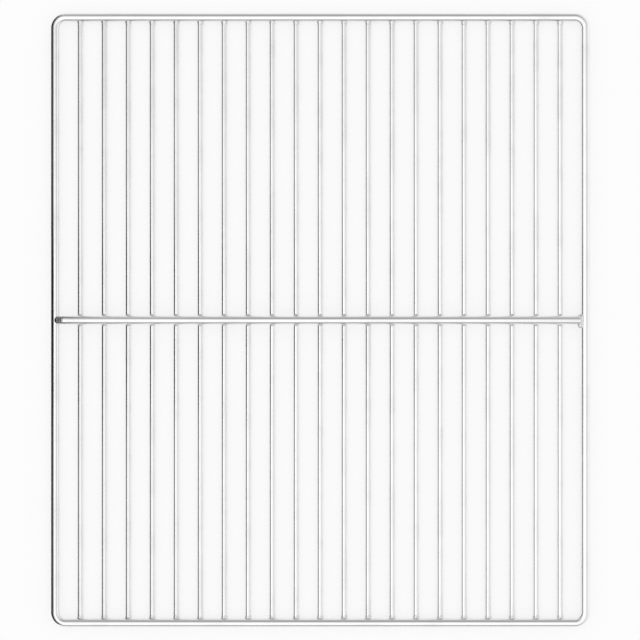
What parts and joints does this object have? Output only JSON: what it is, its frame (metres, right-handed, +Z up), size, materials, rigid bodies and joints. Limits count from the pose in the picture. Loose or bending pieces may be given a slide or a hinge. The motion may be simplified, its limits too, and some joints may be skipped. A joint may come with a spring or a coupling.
{
  "type": "grill grate",
  "caption": "Flat rectangular grill grate of round steel rod: a frame with rounded corners, parallel bars welded inside it and one crossbar across the middle.",
  "frame": {"origin": "middle of the cooking face, which is the plane that the bars and the frame are flush with and that the grate lies on as modelled", "axes": "+Z up, from the cooking face to the crossbar; +Y along the bars, towards the rear end rod; +X along the crossbar, towards its right end"},
  "size_m": [0.4264, 0.486, 0.0114],
  "materials": {
    "frame_steel": "electropolished stainless rod, bright with fine drawing lines",
    "crossbar_steel": "electropolished stainless rod, bright with fine drawing lines",
    "bar_steel": "electropolished stainless wire, bright with fine drawing lines",
    "weld_steel": "weld metal, electropolished, slightly rippled"
  },
  "bodies": {
    "root": {"frame": "frame_steel", "crossbar": "crossbar_steel", "bar_01": "bar_steel", "bar_02": "bar_steel", "bar_03": "bar_steel", "bar_04": "bar_steel", "bar_05": "bar_steel", "bar_06": "bar_steel", "bar_07": "bar_steel", "bar_08": "bar_steel", "bar_09": "bar_steel", "bar_10": "bar_steel", "bar_11": "bar_steel", "bar_12": "bar_steel", "bar_13": "bar_steel", "bar_14": "bar_steel", "bar_15": "bar_steel", "bar_16": "bar_steel", "bar_17": "bar_steel", "bar_18": "bar_steel", "bar_19": "bar_steel", "bar_20": "bar_steel", "bar_21": "bar_steel", "rear_end_welds": "weld_steel", "front_end_welds": "weld_steel", "crossing_welds": "weld_steel", "left_bead": "weld_steel", "right_bead": "weld_steel"}
  },
  "joints": []
}
